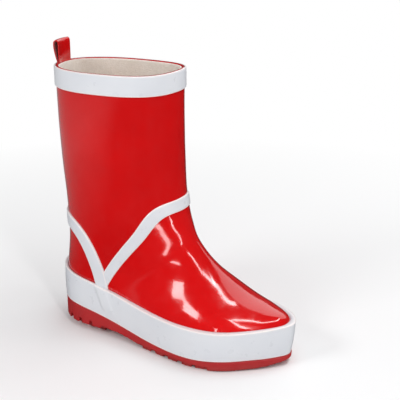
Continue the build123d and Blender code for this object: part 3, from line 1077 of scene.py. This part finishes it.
def drawn_in(verts):
    """Draws the wall of the sole in under the foxing at the toe, and rounds its lower edge."""
    out = verts.copy()
    for i, (x, y, z) in enumerate(verts):
        gaps = np.hypot(wall[:, 0] - x, wall[:, 1] - y)
        near = int(np.argmin(gaps))
        depth = float(np.dot(wall[near] - (x, y), wall_side[near]))
        toe = float(smoothstep((x - 0.100) / 0.045))
        hold = 1 - float(smoothstep((depth - SOLE_HOLD[0] * MM) / (SOLE_HOLD[1] * MM)))
        push = SOLE_PUSH_TOP + (SOLE_PUSH_FOOT - SOLE_PUSH_TOP) * max(0.0, 1 - z / (8 * MM))
        edge = max(0.0, 1 - z / (SOLE_EDGE * MM))
        push = push * toe + SOLE_EDGE * (1 - math.sqrt(max(0.0, 1 - edge * edge))) * toe
        out[i, 0] -= wall_side[near][0] * push * hold * MM
        out[i, 1] -= wall_side[near][1] * push * hold * MM
    return out


verts, faces = remeshed("outsole", 0.65 * MM, 3)
piece("outsole_moulded", drawn_in(verts), faces, [sole], ["outsole"])
verts, faces = remeshed("heel_patch", 0.22 * MM, 4)
piece("heel_patch_tape", verts, faces, [patch], ["heel_patch"])

# --- inner layers keep their CAD shape --------------------------------------------------------------

KEPT = {
    "bottom_filler": filler,
    "heel_plug": filler,
    "insole_board": board,
    "toe_puff": stiffener,
    "heel_stiffener": stiffener,
}
for name, material in KEPT.items():
    mesh = frame["nodes"][name].data
    mesh.materials.clear()
    mesh.materials.append(material)

# --- studio -----------------------------------------------------------------------------------------


FLOOR_HALF = 4.0
FLOOR_CENTRE = (0.06, 0.0, 0.0)
FLOOR_NEAR = 0.14
FLOOR_FAR = 0.55
# Where the floor's reflection fades along X, and its brightness at both ends
FLOOR_SHINE = (-0.45, -0.06, 0.45, 0.025)


def floor():
    """Pale floor that turns to plain white away from the boot."""
    size = FLOOR_HALF
    mesh = bpy.data.meshes.new("floor")
    corners = [(-size, -size, 0), (size, -size, 0), (size, size, 0), (-size, size, 0)]
    mesh.from_pydata(corners, [], [(0, 1, 2, 3)])
    obj = bpy.data.objects.new("floor", mesh)
    bpy.context.scene.collection.objects.link(obj)
    g = Graph("studio_floor")
    path = g.add("ShaderNodeLightPath").outputs
    tint = g.blend(g.noise(3, 2), rgb(0.90, 0.90, 0.90), rgb(0.92, 0.92, 0.92))
    along = g.add("ShaderNodeSeparateXYZ", Vector=g.coords).outputs["X"]
    behind = g.span(along, *FLOOR_SHINE)
    shine = g.add("ShaderNodeCombineColor", Red=behind, Green=behind, Blue=behind).outputs[0]
    tint = g.blend(path["Is Glossy Ray"], tint, shine)
    matt = g.add("ShaderNodeBsdfDiffuse", Color=tint)
    white = g.add("ShaderNodeEmission", Color=rgb(1, 1, 1), Strength=1.0)
    away = g.add("ShaderNodeVectorMath", {"operation": "DISTANCE"})
    g.put(away, "0", g.coords)
    g.put(away, "1", FLOOR_CENTRE)
    far = g.span(away.outputs["Value"], FLOOR_NEAR, FLOOR_FAR, 0.0, 1.0)
    mix = g.add("ShaderNodeMixShader")
    g.put(mix, "0", g.math("MULTIPLY", far, path["Is Camera Ray"]))
    g.tree.links.new(matt.outputs[0], mix.inputs[1])
    g.tree.links.new(white.outputs[0], mix.inputs[2])
    g.tree.links.new(mix.outputs[0], g.output.inputs[0])
    obj.data.materials.append(g.material)


# Name, azimuth and elevation in degrees, distance, width and height in metres, turn in degrees
# and radiance
LAMPS = [
    ("strip_low", -56, -14, 0.21, 0.13, 0.02, 0, 7.5),
    ("strip_second", -23, 8, 1.0, 0.60, 0.055, -25, 12.0),
    ("strip_third", -40, 46, 1.0, 0.065, 0.62, 0, 13.0),
    ("strip_side", -80, 14, 1.0, 0.06, 0.30, 0, 10.0),
    ("softbox_left", -118, 33, 1.0, 0.34, 0.24, 0, 10.0),
    ("overhead_front", -2, 66, 1.0, 0.50, 0.08, 0, 12.0),
    ("overhead_back", 42, 60, 1.0, 0.45, 0.09, -15, 12.0),
    ("panel_back", 88, 36, 1.0, 0.95, 0.60, 0, 1.4),
]
AIM = Vector((0.06, 0, 0.09))
SOFT_LIGHT = 0.42
DIM_LIGHT = 0.06


def softbox(name, azimuth, elevation, distance, width, height, turn, radiance):
    """Area lamp seen from the boot in a given direction."""
    a, e = math.radians(azimuth), math.radians(elevation)
    way = Vector((math.cos(e) * math.cos(a), math.cos(e) * math.sin(a), math.sin(e)))
    data = bpy.data.lights.new(name, "AREA")
    data.shape = "RECTANGLE"
    data.size = width
    data.size_y = height
    data.energy = radiance * math.pi * width * height
    obj = bpy.data.objects.new(name, data)
    obj.location = AIM + way * distance
    obj.rotation_euler = (AIM - obj.location).to_track_quat("-Z", "Y").to_euler()
    obj.rotation_euler.rotate_axis("Z", math.radians(turn))
    obj.visible_camera = False
    bpy.context.scene.collection.objects.link(obj)
    return obj


CAMERA = Vector((0.40706, -0.55420, 0.33394))
YAW = 2.0905
PITCH = 0.3371
LENS = 85.9


def camera():
    data = bpy.data.cameras.new("camera")
    data.lens = LENS
    data.sensor_width = 36.0
    data.clip_start = 0.01
    obj = bpy.data.objects.new("camera", data)
    obj.location = CAMERA
    way = Vector(
        (math.cos(PITCH) * math.cos(YAW), math.cos(PITCH) * math.sin(YAW), -math.sin(PITCH))
    )
    obj.rotation_euler = way.to_track_quat("-Z", "Y").to_euler()
    bpy.context.scene.collection.objects.link(obj)
    bpy.context.scene.camera = obj


def world():
    """White to the camera, soft for matt surfaces and dim in reflections."""
    data = bpy.data.worlds.new("studio")
    bpy.context.scene.world = data
    data.use_nodes = True
    nodes, links = data.node_tree.nodes, data.node_tree.links
    nodes.clear()
    out = nodes.new("ShaderNodeOutputWorld")
    back = nodes.new("ShaderNodeBackground")
    path = nodes.new("ShaderNodeLightPath")
    glossy = nodes.new("ShaderNodeMix")
    camera_ray = nodes.new("ShaderNodeMix")
    glossy.inputs[2].default_value = SOFT_LIGHT
    glossy.inputs[3].default_value = DIM_LIGHT
    camera_ray.inputs[3].default_value = 1.0
    back.inputs[0].default_value = rgb(0.97, 0.98, 1.0)
    links.new(path.outputs["Is Glossy Ray"], glossy.inputs[0])
    links.new(glossy.outputs[0], camera_ray.inputs[2])
    links.new(path.outputs["Is Camera Ray"], camera_ray.inputs[0])
    links.new(camera_ray.outputs[0], back.inputs[1])
    links.new(back.outputs[0], out.inputs[0])


floor()
camera()
world()
lamps = {setting[0]: softbox(*setting) for setting in LAMPS}
# The low strip only shows in the lacquer of the forefoot
forefoot = bpy.data.collections.new("forefoot")
forefoot.objects.link(bpy.data.objects["vamp_shell"])
lamps["strip_low"].light_linking.receiver_collection = forefoot
bpy.context.scene.view_settings.view_transform = "Standard"
